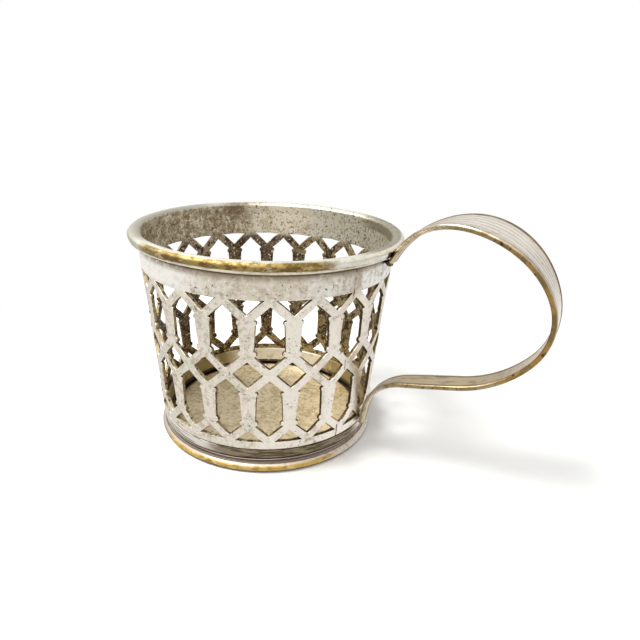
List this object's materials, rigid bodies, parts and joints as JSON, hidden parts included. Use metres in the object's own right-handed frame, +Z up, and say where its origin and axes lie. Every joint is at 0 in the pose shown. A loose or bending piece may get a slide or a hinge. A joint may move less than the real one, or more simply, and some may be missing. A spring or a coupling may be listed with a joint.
{
  "type": "podstakannik tea glass holder",
  "caption": "Tea glass holder with a tapered openwork lattice wall, rolled rim, necked flange foot, inner floor and a wide reeded strap handle.",
  "frame": {"origin": "centre of the foot's underside, on the cup's axis", "axes": "+Z up along the cup's axis, out of its mouth; +X towards the handle; +Y to the left of someone who looks along +X"},
  "size_m": [0.1185, 0.0768, 0.0703],
  "materials": {
    "wall_plate": "worn silver plate, satin, tarnished inside",
    "rim_plate": "silver plate worn through to brass along its front",
    "collar_plate": "worn silver plate, satin",
    "foot_plate": "silver plate worn through to brass on its edge",
    "floor_plate": "mottled, stained plate",
    "handle_plate": "worn silver plate, brass along both edge beads",
    "soft_solder": "dull tin and lead solder",
    "core_wire": "drawn wire, hidden inside the rolled rim"
  },
  "bodies": {
    "root": {"openwork_wall": "wall_plate", "wall_seam": "soft_solder", "rim_roll": "rim_plate", "rim_wire": "core_wire", "base_collar": "collar_plate", "foot_ring": "foot_plate", "bottom_plate": "floor_plate", "handle_strap": "handle_plate", "handle_solder_upper": "soft_solder", "handle_solder_lower": "soft_solder"}
  },
  "joints": []
}
